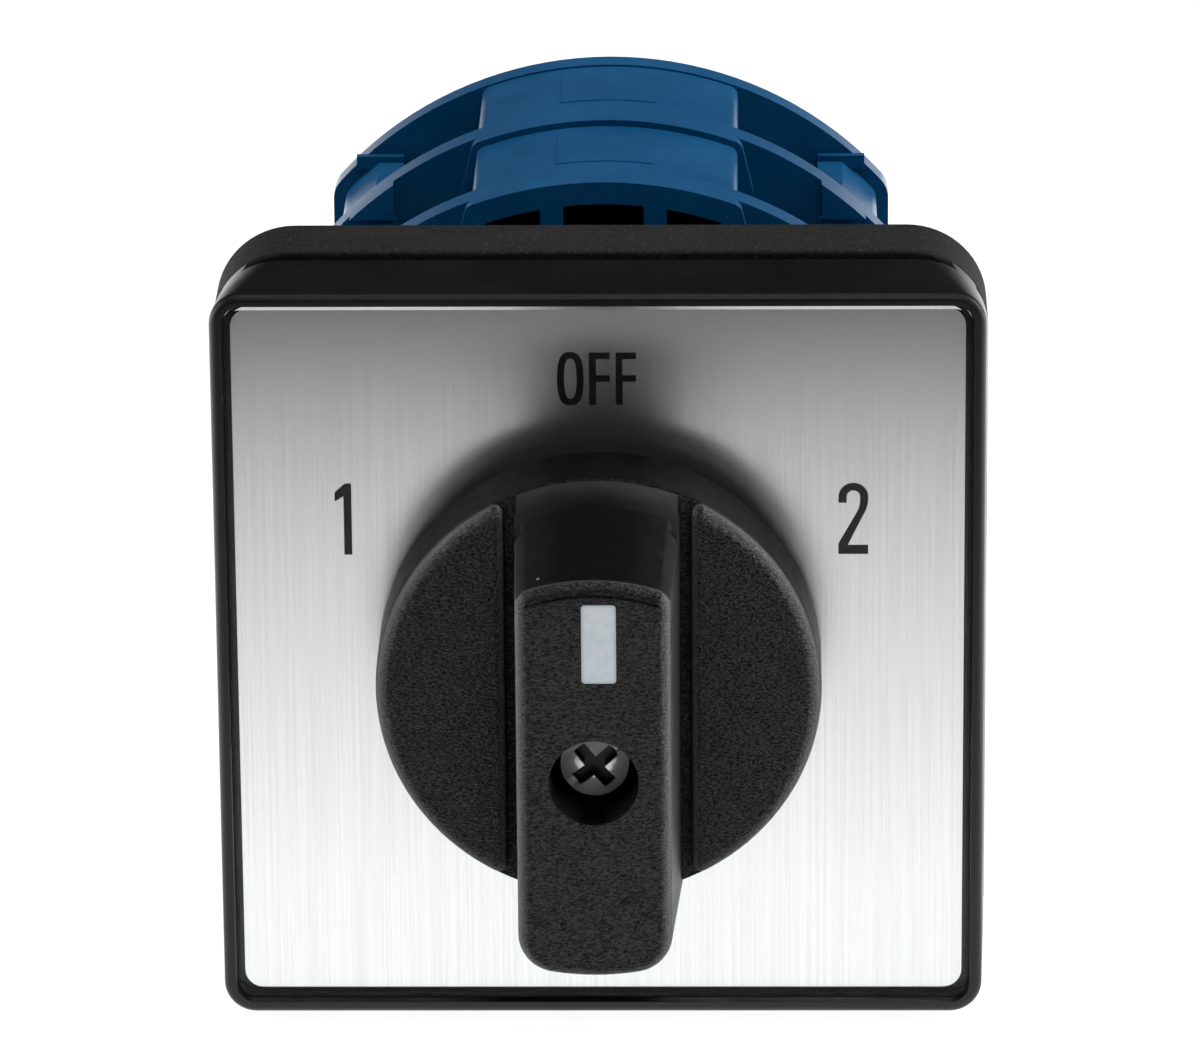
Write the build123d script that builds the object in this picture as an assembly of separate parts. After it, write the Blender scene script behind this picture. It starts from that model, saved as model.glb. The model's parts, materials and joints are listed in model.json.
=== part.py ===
from build123d import *
import math
import os

# Panel-mounted rotary isolator switch: three positions (1, OFF, 2), two contact stages.
# Millimetres. +X right and +Z up as seen from the operator, +Y into the panel.
# The shaft axis is X = Z = 0. y = 0 is the panel's front face, where the gasket's rear face seats.

# ---- driving dimensions: front group -------------------------------------------------------
square = 48.0               # gasket and the rear of the escutcheon frame, across the flats
rim_side = 47.4             # the frame tapers slightly to its front rim
rim_round = 0.5
rim_depth = 0.6             # straight part of the rim
front_corner = 2.0          # frame corner radius at the front rim
gasket_corner = 5.0         # corner radius where the frame meets the gasket
gasket_depth = 5.2          # y = -5.2 to 0
gasket_edge_round = 0.3
rim_front = -12.9           # foremost edge of the frame's rim
cover_front = -12.6         # front face of the clear cover
cover_side = 45.6
cover_corner = 1.0
cover_thickness = 1.2
cover_edge_ease = 0.15
legend_side = 44.9
legend_corner = 1.2
legend_thickness = 0.5
opening_side = 45.9         # inside of the frame's rim
opening_corner = 1.25
frame_wall = 2.3
frame_inner_corner = 2.0
floor_thickness = 3.0
groove_width = 1.6          # prising groove just ahead of the gasket
groove_depth = 0.8
collar_side = 43.5          # frame collar that the gasket wraps
collar_rear = -0.6
collar_corner = 3.2
collar_wall = 1.8
collar_inner_corner = 1.6
seal_tube_wall = 1.4
pillar_radius = 3.4
head_pocket_radius = 3.9
mount_head_radius = 3.6     # the four M4 mounting screws
mount_head_height = 2.1
mount_waist_radius = 1.5
mount_thread_radius = 2.0
tapped_radius = 1.95        # hole for an M4 thread, drawn without the thread
running_gap = 0.15          # round the shaft and the handle's hub
fit_gap = 0.02              # between pieces that touch
front_hole_radius = 5.5     # through the cover and the legend, for the handle's hub

# ---- driving dimensions: handle ------------------------------------------------------------
knob_radius = 13.65
knob_edge_round = 0.95
wing_edge_round = 0.6
knob_rear = -13.1
wing_front = -18.6          # front of the two textured wings
lever_front = -33.6
lever_half_base = 5.15      # half width of the lever where it leaves the disc
lever_half_front = 4.6
lever_top_base = 12.8       # the upper end wall runs nearly parallel to the shaft
lever_top_front = 12.75
lever_foot_base = 16.3      # the lower end overhangs the disc and leans back
lever_foot_front = 12.45
lever_top_rise = 1.0        # both ends of the lever are bowed outward
lever_foot_rise = 0.7
lever_top_corner = 1.0
lever_nose_corner = 2.4
lever_edge_round = 0.8
bead_radius = 0.42          # raised bead along the top edge of the lever's front face
bead_path_radius = 12.4     # it runs concentric with the shaft
bead_front = -33.25
bead_half_length = 4.0
crease_radius = 0.12        # fine groove under the bead
crease_path_radius = 11.85
crease_front = -33.64
valley_width = 0.5          # shallow channel between lever and wing
valley_depth = 0.8
flare_start = -22.9         # from here the upper end wall sweeps out to the disc's rim
flare_middle = (13.0, -19.4)
flare_end = -17.4
flare_half_width = 4.9
screw_pocket_radius = 2.68
screw_pocket_floor = -29.0
clamp_hole_radius = 1.6     # for the M3 screw that holds the handle
clamp_head_radius = 2.05
clamp_head_height = 1.75
clamp_head_dome = 0.4
clamp_screw_end = -20.5
socket_gap = 0.03           # round the square of the shaft, each side
socket_front = -27.6
rim_wall = 1.7              # wall left round the hollow in the back of the disc
back_hollow_depth = 3.2
back_hollow_gap = 1.2       # wall left round the hub
lever_wall = 1.7
lever_front_wall = 2.6
lever_hollow = (4.6, 10.2)  # the lever is cored out above and below the shaft
hub_radius = 5.1
hub_rear = -9.6
marker_width = 2.1
marker_low = 6.3
marker_high = 11.3
marker_offset = 0.35
marker_depth = 0.5

# ---- driving dimensions: panel space, latch and shaft --------------------------------------
panel_thickness = 2.0       # free space for the enclosure wall, y = 0 to 2
bolt_half_pitch = 18.0      # four mounting screws on a 36 x 36 mm square
plate_side = 43.0
plate_rear = 4.5
plate_corner = 3.0
plate_bore = 9.0
latch_radius = 20.0
latch_floor = 1.4
latch_cavity_radius = 13.6
m3_radius = 1.5             # handle screw, tie bolts and terminal screws
m3_hole = 1.6
m3_tapped = 1.55
shaft_square = 6.0
journal_radius = 4.3
rear_journal_radius = 2.8
clip_seat_radius = 2.2
star_front = 6.1
star_rear = 8.1
star_tip_radius = 9.6
star_valley_radius = 8.4
stop_front = 8.2
stop_rear = 9.5
turn_limit = 60.0           # degrees each way from OFF

# ---- driving dimensions: contact stages ----------------------------------------------------
disc_radius = 24.05
flat_half = 18.4            # the discs are cut flat on both sides
rim_corner = 1.8
ring_thickness = 2.0
wall_inset = 0.8
wall_corner = 1.2
block_half = 8.45           # central block, top and bottom
block_radii = (23.65, 23.92)  # outer radius of each stage's central block
pad_half_width = 3.1        # faint raised pads on the blocks
pad_height = 0.05
pad_reach = (7.6, 1.2)      # the pads start and stop this far ahead of the block's rear end
boss_half_outer = 8.3       # raised centre of a ring: narrow at the rim, wider inward
boss_half_inner = 9.5
post_inner = 13.7
post_tops = (16.8, 17.5)    # the first stage's corner posts are a little lower
ledge_height = 0.4          # small step at the rear end of each post
ledge_depth = 0.6
ledge_outer = 16.8
pad_inner = 13.9            # pads on the second ring's front face, above the posts
pad_thickness = 0.9
core_half_height = 12.4
block_corner = 0.7
block_inner = 10.0          # the blocks run inward into the core
pocket_wall = 1.45
pocket_centre_width = 5.1
pocket_side_middle = 5.75
pocket_side_width = 3.5
stage_pitch = 13.3
first_lip = 8.6             # foremost face of the first stage's raised centre
lip_depth = 1.0
end_front = 34.3
end_rear = 36.4
tie_height = 15.5
contact_plane = 7.6         # behind each stage's ring front
shaft_bore = 4.98           # clears the corners of the shaft's square
pocket_depth = 9.5
pocket_inner = 18.4
end_recess_depth = 0.6
end_recess_inset = 2.2
end_rib = 2.4
bush_bore = 4.52
clearance = 0.05

# ---- driving dimensions: cams and contacts -------------------------------------------------
cam_mean_radius = 7.6
cam_rise = 0.9              # follower travel for 60 degrees of handle
cam_sector = 78.0           # each spiral runs this far either side of its follower
cam_thickness = 5.0
follower_half = 2.2
bridge_inner = 12.95        # bridge's inner face with the handle at OFF
bridge_thickness = 0.8
bridge_half_length = 7.5
bridge_pin_radius = 0.6
tip_height = 6.2
tip_radius = 1.3
tip_thickness = 0.5
strip_inner = 10.2
strip_outer = 11.0
chamber_outer = 16.4
chamber_half_height = 10.8
strip_half_width = 2.5
tab_half_length = 2.4       # terminal tab, across the well and along it
tab_half_width = 3.2
tab_low = 12.5
tab_high = 14.1
clamp_half_length = 2.3
clamp_half_width = 3.0
clamp_thickness = 1.0
bar_half_width = 2.0        # bridges and plungers, along the shaft
well_centre = (block_half + post_inner) / 2


# ---- helpers -------------------------------------------------------------------------------
def slab(outline, front, rear):
    """Extrude an outline drawn in X and Z from y = front to y = rear."""
    plane = Plane(origin=(0, rear, 0), x_dir=(1, 0, 0), z_dir=(0, -1, 0))
    return extrude(plane * outline, amount=rear - front)


def rod(radius, front, rear, x=0.0, z=0.0):
    """A cylinder along Y."""
    return Pos(x, 0, z) * slab(Circle(radius), front, rear)


def block(x0, x1, y0, y1, z0, z1):
    """A box given by its limits, in either order."""
    centre = ((x0 + x1) / 2, (y0 + y1) / 2, (z0 + z1) / 2)
    return Pos(*centre) * Box(abs(x1 - x0), abs(y1 - y0), abs(z1 - z0))


def rounded(side, corner):
    """A square outline with rounded corners."""
    return RectangleRounded(side, side, corner)


def truncated_disc(radius, half_width, corner):
    """A disc cut flat on its left and right, with its four corners rounded."""
    outline = Circle(radius) & Rectangle(2 * half_width, 2 * radius)
    return fillet(outline.vertices(), corner)


def turned(points):
    """Revolve a closed (radius, y) outline about the Y axis."""
    return revolve(make_face(Polyline(*points, close=True)), Axis.Y, 360)


def gathered(solids):
    """Several separate solids of one kind, kept apart inside one node."""
    return Compound(children=list(solids))


def four_corners(half_x, half_z):
    """Signed positions of a rectangular pattern of four."""
    return [(sx * half_x, sz * half_z) for sx in (-1, 1) for sz in (-1, 1)]


def cross_recess(radius, front, depth, turn=0.0):
    """Cross-and-slot driver recess, opening towards -Y."""
    arm = 0.42 * radius
    arms = Rectangle(1.45 * radius, arm) + Rectangle(arm, 1.45 * radius)
    slot = Rectangle(2.4 * radius, 0.26 * radius)
    deep = slab(arms, front - radius, front + depth)
    shallow = slab(slot, front - radius, front + 0.5 * depth)
    return Rot(0, turn, 0) * (deep + shallow)


def pan_screw(head_radius, head_height, seat, dome, turn=0.0):
    """Domed screw head whose flat underside seats at y = seat, with its recess."""
    front = seat - head_height
    shoulder = front + dome
    edge = Line((head_radius, seat), (head_radius, shoulder))
    crown = ThreePointArc(
        (head_radius, shoulder),
        (0.62 * head_radius, front + 0.34 * dome),
        (0, front),
    )
    base = Line((0, front), (0, seat)) + Line((0, seat), (head_radius, seat))
    head = revolve(make_face(edge + crown + base), Axis.Y, 360)
    return head - cross_recess(head_radius, front, 0.55 * head_height, turn)


# ---- front group ---------------------------------------------------------------------------
cover_rear = cover_front + cover_thickness
legend_rear = cover_rear + legend_thickness
floor_front = legend_rear
floor_rear = floor_front + floor_thickness
seal_bore = 7.0
seal_front = -4.8
seal_rear = -1.6
head_seat = floor_front + 2.3


def make_front_frame():
    """Escutcheon frame: rim, floor, four screw pillars, seal tube and gasket collar."""
    wide = Plane(origin=(0, -gasket_depth, 0), x_dir=(1, 0, 0), z_dir=(0, -1, 0))
    narrow = Plane(origin=(0, rim_front + rim_depth, 0), x_dir=(1, 0, 0), z_dir=(0, -1, 0))
    shell = loft([
        (wide * rounded(square, gasket_corner)).face(),
        (narrow * rounded(rim_side, front_corner)).face(),
    ])
    rim = slab(rounded(rim_side, front_corner), rim_front, rim_front + rim_depth)
    rim = fillet(rim.faces().sort_by(Axis.Y)[0].edges(), rim_round)
    body = shell + rim
    body -= slab(rounded(opening_side, opening_corner), rim_front, floor_front)
    body -= slab(rounded(square - 2 * frame_wall, frame_inner_corner), floor_rear, -gasket_depth)
    groove_front = -gasket_depth - groove_width
    inner = square / 2 - groove_depth
    for angle in (0, 90, 180, 270):
        bite = block(-square, square, groove_front, -gasket_depth, inner, square)
        body -= Rot(0, angle, 0) * bite
    collar = slab(rounded(collar_side, collar_corner), floor_rear, collar_rear)
    collar_inside = rounded(collar_side - 2 * collar_wall, collar_inner_corner)
    body += collar - slab(collar_inside, floor_rear, collar_rear)
    body += rod(seal_bore + seal_tube_wall, floor_rear, collar_rear)
    for x, z in four_corners(bolt_half_pitch, bolt_half_pitch):
        body += rod(pillar_radius, floor_rear, collar_rear, x, z)
        body -= rod(head_pocket_radius, floor_front, head_seat, x, z)
        body -= rod(mount_waist_radius + 0.4, head_seat, collar_rear, x, z)
    body -= rod(hub_radius + running_gap, rim_front, floor_rear)
    body -= rod(journal_radius + running_gap, floor_rear, collar_rear)
    body -= rod(seal_bore, seal_front - clearance, collar_rear)
    return body


def make_clear_cover():
    """Transparent plate over the legend, its front edge slightly eased."""
    plate = slab(rounded(cover_side, cover_corner), cover_front, cover_rear - fit_gap)
    plate = chamfer(plate.faces().sort_by(Axis.Y)[0].edges(), cover_edge_ease)
    return plate - rod(front_hole_radius, cover_front, cover_rear)


def make_legend_plate():
    """Brushed metal sheet that carries the position marks."""
    sheet = slab(rounded(legend_side, legend_corner), cover_rear, legend_rear - fit_gap)
    return sheet - rod(front_hole_radius, cover_rear, legend_rear)


def make_panel_gasket():
    """Rubber sleeve round the frame's collar; its rear face seals on the panel."""
    sleeve = slab(rounded(square, gasket_corner), -gasket_depth + fit_gap, 0)
    sleeve = fillet(sleeve.faces().sort_by(Axis.Y)[0].edges(), gasket_edge_round)
    bore = rounded(collar_side + 2 * clearance, collar_corner + clearance)
    return sleeve - slab(bore, -gasket_depth, 0)


def make_shaft_seal():
    """Lip seal between the frame's centre tube and the round part of the shaft."""
    lip = journal_radius + 0.03
    groove = lip + 0.7
    lip_length = 0.6
    lip_flank = 1.0
    outer = seal_bore - fit_gap
    return turned([
        (lip, seal_front), (lip, seal_front + lip_length), (groove, seal_front + lip_flank),
        (groove, seal_rear - lip_flank), (lip, seal_rear - lip_length), (lip, seal_rear),
        (outer, seal_rear), (outer, seal_front),
    ])


def make_seal_retainer():
    """Thin washer that keeps the seal in its tube."""
    ring = rod(seal_bore - 2 * fit_gap, seal_rear + fit_gap, collar_rear)
    return ring - rod(journal_radius + running_gap + 0.1, seal_rear, collar_rear)


def make_mounting_screws():
    """Four captive M4 screws: waisted in the frame, full thread across the panel space."""
    screws = []
    for x, z in four_corners(bolt_half_pitch, bolt_half_pitch):
        turn = 20 * x / bolt_half_pitch
        screw = pan_screw(mount_head_radius, mount_head_height, head_seat, 0.9, turn=turn)
        screw += rod(mount_waist_radius, head_seat, 0)
        screw += rod(mount_thread_radius, 0, panel_thickness)
        screw += rod(tapped_radius - clearance, panel_thickness, plate_rear - 0.1)
        screws.append(Pos(x, 0, z) * screw)
    return gathered(screws)


# ---- handle --------------------------------------------------------------------------------
def lever_section(y, half_width, top, foot):
    """Outline of the lever at one depth, rounded more at its nose than at its top."""
    plane = Plane(origin=(0, y, 0), x_dir=(1, 0, 0), z_dir=(0, -1, 0))
    shoulder = top - lever_top_rise
    heel = -foot + lever_foot_rise
    crown = ThreePointArc((-half_width, shoulder), (0, top), (half_width, shoulder))
    sole = ThreePointArc((half_width, heel), (0, -foot), (-half_width, heel))
    sides = Line((half_width, shoulder), (half_width, heel))
    sides += Line((-half_width, heel), (-half_width, shoulder))
    outline = make_face(crown + sole + sides)
    outline = fillet(outline.vertices().sort_by(Axis.Y)[:2], lever_nose_corner)
    outline = fillet(outline.vertices().sort_by(Axis.Y)[-2:], lever_top_corner)
    return (plane * outline).face()


def lever_arc(path_radius, wire_radius, y):
    """Round wire bent about the shaft axis across the lever's upper end."""
    half = bead_half_length
    height = math.sqrt(path_radius ** 2 - half ** 2)
    path = ThreePointArc((-half, y, height), (0, y, path_radius), (half, y, height))
    return sweep(Plane(path @ 0, z_dir=path % 0) * Circle(wire_radius), path=path)


def lever_flare():
    """Concave sweep from the lever's upper end wall to the rim of the disc."""
    inner = lever_top_base - 1.3
    start = (lever_top_base - 0.06, flare_start)
    end = (knob_radius, flare_end)
    outline = Polyline(end, (inner, flare_end), (inner, flare_start), start)
    outline += ThreePointArc(start, flare_middle, end)
    flare = revolve(make_face(outline), Axis.Y, 360)
    half = flare_half_width
    return flare & block(-half, half, flare_start - 1, flare_end + 1, 0, knob_radius + 1)


def make_handle():
    """Disc with two raised wings and an upright lever, moulded in one piece."""
    disc = rod(knob_radius, knob_rear, wing_front)
    disc = fillet(disc.faces().sort_by(Axis.Y)[0].edges(), knob_edge_round)
    valley = lever_half_base + valley_width
    channel = block(-valley, valley, wing_front - 1, wing_front + valley_depth,
                    -2 * knob_radius, 2 * knob_radius)
    disc -= channel
    inner_edges = disc.edges().filter_by(Axis.Z).group_by(Axis.Y)[0]
    disc = fillet(inner_edges, wing_edge_round)
    lever = loft([
        lever_section(knob_rear - 0.4, lever_half_base, lever_top_base, lever_foot_base),
        lever_section(lever_front, lever_half_front, lever_top_front, lever_foot_front),
    ])
    lever = fillet(lever.faces().sort_by(Axis.Y)[0].edges(), lever_edge_round)
    body = disc + lever + lever_flare() + rod(hub_radius, knob_rear, hub_rear)
    body += lever_arc(bead_path_radius, bead_radius, bead_front)
    body -= lever_arc(crease_path_radius, crease_radius, crease_front)
    body -= rod(screw_pocket_radius, lever_front, screw_pocket_floor)
    body -= rod(clamp_hole_radius, screw_pocket_floor, socket_front + 1)
    socket = shaft_square + 2 * socket_gap
    body -= slab(Rectangle(socket, socket), socket_front, hub_rear)
    hollow_floor = knob_rear - back_hollow_depth
    ring = rod(knob_radius - rim_wall, hollow_floor, knob_rear)
    body -= ring - rod(hub_radius + back_hollow_gap, hollow_floor, knob_rear)
    half = lever_half_front - lever_wall
    low, high = lever_hollow
    for side in (-1, 1):
        body -= block(-half, half, lever_front + lever_front_wall, knob_rear,
                      side * low, side * high)
    return body - slab(marker_outline(), lever_front, lever_front + marker_depth)


def marker_outline():
    """Outline of the white pointer mark on the lever's front face."""
    height = marker_high - marker_low
    middle = (marker_high + marker_low) / 2
    return Pos(marker_offset, middle) * RectangleRounded(marker_width, height, 0.25)


def make_handle_marker():
    """White pointer inlay, a hair below the lever's front face."""
    inlay = offset(marker_outline(), -fit_gap)
    return slab(inlay, lever_front + 0.06, lever_front + marker_depth - fit_gap)


def make_handle_screw():
    """M3 screw that holds the handle on the shaft, sunk in the lever."""
    screw = pan_screw(clamp_head_radius, clamp_head_height, screw_pocket_floor,
                      clamp_head_dome, turn=-40)
    return screw + rod(m3_radius, screw_pocket_floor, clamp_screw_end)


# ---- shaft and everything that turns with it -----------------------------------------------
def square_bored(solid, front, rear):
    """Cut the shaft's square through a solid."""
    side = shaft_square + 0.06
    return solid - slab(Rectangle(side, side), front, rear)


def make_drive_shaft():
    """Square steel shaft with a round sealing journal and a turned rear end."""
    front_end = -27.5
    journal_rear = 5.9
    square_rear = end_front - 1.0
    bar = RectangleRounded(shaft_square, shaft_square, 0.3)
    shaft = slab(bar, front_end, square_rear)
    shaft += rod(journal_radius, hub_rear + 0.1, journal_rear)
    shaft += rod(rear_journal_radius, square_rear, end_rear + 1.5)
    groove = rod(rear_journal_radius + 1, end_rear + 0.5, end_rear + 1.0)
    shaft -= groove - rod(clip_seat_radius, end_rear + 0.5, end_rear + 1.0)
    return shaft - rod(m3_tapped, front_end, -19.5)


def make_star_wheel():
    """Six-valley detent wheel; the valleys are 60 degrees apart."""
    notch_radius = 1.7
    wheel = Circle(star_tip_radius)
    for step in range(6):
        reach = star_valley_radius + notch_radius
        angle = math.radians(60 * step)
        wheel -= Pos(reach * math.cos(angle), reach * math.sin(angle)) * Circle(notch_radius)
    return square_bored(slab(wheel, star_front, star_rear), star_front, star_rear)


def make_stop_disc():
    """Disc with one arm that meets the stop pins at either end of the travel."""
    arm = Pos(0, -6.5) * RectangleRounded(4.0, 13.0, 0.6)
    disc = slab(Circle(7.5) + arm, stop_front, stop_rear)
    return square_bored(disc, stop_front, stop_rear)


def cam_outline():
    """Two mirrored spirals, so that the left and right followers travel oppositely."""
    def at(angle, side):
        turn = math.radians(angle)
        radius = cam_mean_radius - cam_rise * angle / turn_limit
        return side * radius * math.cos(turn), radius * math.sin(turn)

    angles = [cam_sector * (i / 6 - 1) for i in range(13)]
    right = Spline(*[at(a, 1) for a in angles])
    left = Spline(*[at(a, -1) for a in angles])
    crest = cam_mean_radius + cam_rise * cam_sector / turn_limit
    base = cam_mean_radius - cam_rise * cam_sector / turn_limit
    top = ThreePointArc(at(cam_sector, 1), (0, base), at(cam_sector, -1))
    bottom = ThreePointArc(at(-cam_sector, 1), (0, -crest), at(-cam_sector, -1))
    return make_face(right + top + left + bottom)


def make_cam(ring_front):
    """Cam with a hub on each side, filling its stage from ring to ring."""
    middle = ring_front + contact_plane
    hub_front = ring_front + ring_thickness + 0.1
    hub_end = ring_fronts[1] - 1.6 if ring_front < ring_fronts[1] else end_front - 1.0
    cam = slab(cam_outline(), middle - cam_thickness / 2, middle + cam_thickness / 2)
    cam += rod(5.9, hub_front, hub_end)
    return square_bored(cam, hub_front, hub_end)


def make_shaft_spacers():
    """Round sleeves that turn in the rings' centre holes and set the cams' spacing."""
    first = rod(4.9, stop_rear + clearance, ring_fronts[0] + ring_thickness + 0.05)
    second = rod(4.9, ring_fronts[1] - 1.55, ring_fronts[1] + ring_thickness + 0.05)
    return gathered(square_bored(sleeve, 0, end_front) for sleeve in (first, second))


def make_retaining_clip():
    """E-clip in the shaft's rear groove."""
    front = end_rear + 0.54
    rear = end_rear + 0.96
    clip = rod(4.2, front, rear) - rod(clip_seat_radius + 2 * fit_gap, front, rear)
    return clip - block(-1.5, 1.5, front, rear, -5, 0)


# ---- latch group ---------------------------------------------------------------------------
def make_mounting_plate():
    """Steel plate behind the panel with four tapped holes."""
    front = panel_thickness
    lead_in = 0.3
    plate = slab(rounded(plate_side, plate_corner), front, plate_rear - fit_gap)
    plate -= rod(plate_bore, front, plate_rear)
    for x, z in four_corners(bolt_half_pitch, bolt_half_pitch):
        mouth = turned([
            (0, front), (tapped_radius + lead_in, front),
            (tapped_radius, front + lead_in), (0, front + lead_in),
        ])
        plate -= Pos(x, 0, z) * mouth
        plate -= rod(tapped_radius, front, plate_rear, x, z)
    for z in (-tie_height, tie_height):
        plate -= rod(m3_tapped, front + 0.6, plate_rear, 0, z)
    return plate


def make_latch_housing():
    """Cup that holds the detent wheel, with a spigot centred in the mounting plate."""
    cup = rod(latch_radius, plate_rear, ring_fronts[0] - fit_gap)
    cup = fillet(cup.faces().sort_by(Axis.Y)[0].edges(), 0.5)
    cup += rod(plate_bore - 0.1, panel_thickness + 0.4, plate_rear)
    cup -= rod(latch_cavity_radius, plate_rear + latch_floor, ring_fronts[0])
    cup -= rod(journal_radius + 0.06, 0, plate_rear + latch_floor)
    for z in (-tie_height, tie_height):
        cup -= rod(m3_hole, plate_rear, ring_fronts[0], 0, z)
    return cup


def make_detent_springs():
    """Two formed leaf springs whose noses sit in opposite valleys of the star wheel."""
    thickness = 0.4
    nose = star_valley_radius + 0.3
    knee = (10.9, 2.6)
    tail = (11.1, 7.0)
    springs = []
    for side in (-1, 1):
        path = Polyline(
            (side * tail[0], -tail[1]), (side * knee[0], -knee[1]), (side * nose, 0),
            (side * knee[0], knee[1]), (side * tail[0], tail[1]),
        )
        leaf = trace(path, line_width=thickness)
        springs.append(slab(leaf, star_front + 0.05, star_rear - 0.05))
    return gathered(springs)


def make_stop_pins():
    """Two steel pins in the first ring that the stop arm meets at 60 degrees each way."""
    reach = 11.5
    pin_radius = 1.0
    arm_half = 2.0
    offset_angle = math.degrees(math.asin((arm_half + pin_radius + clearance) / reach))
    angle = math.radians(turn_limit + offset_angle)
    x = reach * math.sin(angle)
    z = -reach * math.cos(angle)
    rear = ring_fronts[0] + ring_thickness - 0.2
    return gathered(rod(pin_radius, stop_front + 0.1, rear, side * x, z) for side in (-1, 1))


def stop_pin_holes():
    """The blind holes that the stop pins are pressed into."""
    front = ring_fronts[0]
    pins = make_stop_pins().solids()
    centres = [pin.center() for pin in pins]
    return [rod(1.02, front, front + ring_thickness - 0.15, c.X, c.Z) for c in centres]


# ---- contact stages ------------------------------------------------------------------------
lip_fronts = [first_lip, first_lip + stage_pitch]
ring_fronts = [lip + lip_depth for lip in lip_fronts]
wall_rears = [ring_fronts[1], end_front]
block_rears = [lip_fronts[1], end_front]


def block_outline(radius):
    """Outline of the central blocks, above and below, out to a radius."""
    outline = Circle(radius) & Rectangle(2 * block_half, 2 * radius)
    outline = fillet(outline.vertices(), block_corner)
    return outline - Rectangle(2 * radius, 2 * block_inner)


def boss_outline():
    """Outline of a ring's raised centre, above and below, with sloping sides."""
    waist = boss_half_inner + 0.1 * block_inner
    half = Polygon(
        (-boss_half_outer, disc_radius), (boss_half_outer, disc_radius),
        (boss_half_inner, latch_radius - 1), (waist, 0), (-waist, 0),
        (-boss_half_inner, latch_radius - 1), align=None,
    )
    outline = Circle(disc_radius) & (half + mirror(half, Plane.XZ))
    corners = outline.vertices().filter_by(lambda v: abs(v.Y) > latch_radius + 1)
    outline = fillet(corners, block_corner)
    return outline - Rectangle(2 * disc_radius, 2 * block_inner)


def wall_outline(post_top):
    """Core and the four corner posts, set in from the edge of the ring."""
    edge = truncated_disc(disc_radius - wall_inset, flat_half - wall_inset, wall_corner)
    core = edge & Rectangle(2 * flat_half, 2 * core_half_height)
    post_width = flat_half - post_inner
    for x, z in four_corners(post_inner + post_width / 2, 0):
        core += edge & (Pos(x, 0) * Rectangle(post_width, 2 * post_top))
    return core


def post_ledges(index):
    """Small steps on the rear end of the four corner posts."""
    ledges = []
    for x, z in four_corners(1, 1):
        ledges.append(block(x * post_inner, x * ledge_outer,
                            wall_rears[index] - ledge_depth, wall_rears[index],
                            z * (post_tops[index] - 0.5), z * (post_tops[index] + ledge_height)))
    return ledges


def ring_pads(index):
    """Four shallow pads on a ring's front face, from the posts ahead of it out to the rim."""
    low = post_tops[index - 1] + ledge_height + 0.05
    outline = truncated_disc(disc_radius, flat_half, rim_corner)
    width = flat_half - pad_inner
    pads = Rectangle(0.1, 0.1)
    for side in (-1, 1):
        pads += Pos(side * (pad_inner + width / 2), 0) * Rectangle(width, 2 * disc_radius)
    pads = (outline & pads) - Rectangle(2 * disc_radius, 2 * low)
    return slab(pads, ring_fronts[index] - pad_thickness, ring_fronts[index])


def chamber_outline():
    """The cam space, both contact chambers and the guides between them."""
    width = chamber_outer - strip_inner + 0.2
    outline = Circle(cam_mean_radius + 2.5)
    for side in (-1, 1):
        middle = side * (chamber_outer - width / 2)
        outline += Pos(middle, 0) * Rectangle(width, 2 * chamber_half_height)
        outline += Pos(side * 8, 0) * Rectangle(8, 2 * follower_half + 0.1)
    return outline


def make_stage_housing(index):
    """One stage: front ring with a raised centre, walls, wire wells and contact chambers."""
    ring_front = ring_fronts[index]
    ring_rear = ring_front + ring_thickness
    ring = slab(truncated_disc(disc_radius, flat_half, rim_corner), ring_front, ring_rear)
    lip = slab(boss_outline(), lip_fronts[index], ring_front)
    lip -= rod(latch_radius + 0.1, lip_fronts[index], ring_front)
    body = ring + lip
    body += slab(wall_outline(post_tops[index]), ring_rear, wall_rears[index])
    for ledge in post_ledges(index):
        body += ledge
    if index > 0:
        body += ring_pads(index)
    radius = block_radii[index]
    body += slab(block_outline(radius), ring_rear, block_rears[index])
    body -= slab(chamber_outline(), ring_rear, wall_rears[index])
    body -= block_rear_relief(index)
    body -= rod(shaft_bore, ring_front, ring_rear)
    for z in (-1, 1):
        body -= rod(m3_hole, ring_front, wall_rears[index], 0, z * tie_height)
    middle = ring_front + contact_plane
    for x, z in four_corners((strip_inner + strip_outer) / 2, chamber_half_height + 1):
        slot = block(-0.5, 0.5, middle - 2.6, middle + 2.6, -1.5, 1.5)
        body -= Pos(x, 0, z) * slot
    body -= core_pockets(lip_fronts[index])
    pad_front, pad_rear = (block_rears[index] - reach for reach in pad_reach)
    for side in (-1, 1):
        pad = block(-pad_half_width, pad_half_width, pad_front, pad_rear,
                    side * (radius - 1.5), side * (radius + pad_height))
        body += pad & rod(radius + pad_height, 0, end_front)
    if index == 0:
        for hole in stop_pin_holes():
            body -= hole
    return body


def block_rear_relief(index):
    """Room behind the shortened central blocks for the next stage's raised centre."""
    relief = slab(boss_outline(), block_rears[index], wall_rears[index] + 0.01)
    return relief - rod(latch_radius + 0.1, block_rears[index], wall_rears[index] + 0.01)


def core_pockets(front):
    """Three moulded pockets in each central block, parted by two thin ribs."""
    tall = 2 * disc_radius
    outer = Circle(disc_radius - pocket_wall) - Circle(pocket_inner)
    pockets = outer & Rectangle(pocket_centre_width, tall)
    for side in (-1, 1):
        pockets += outer & (Pos(side * pocket_side_middle, 0) * Rectangle(pocket_side_width, tall))
    return slab(pockets, front, front + pocket_depth)


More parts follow.
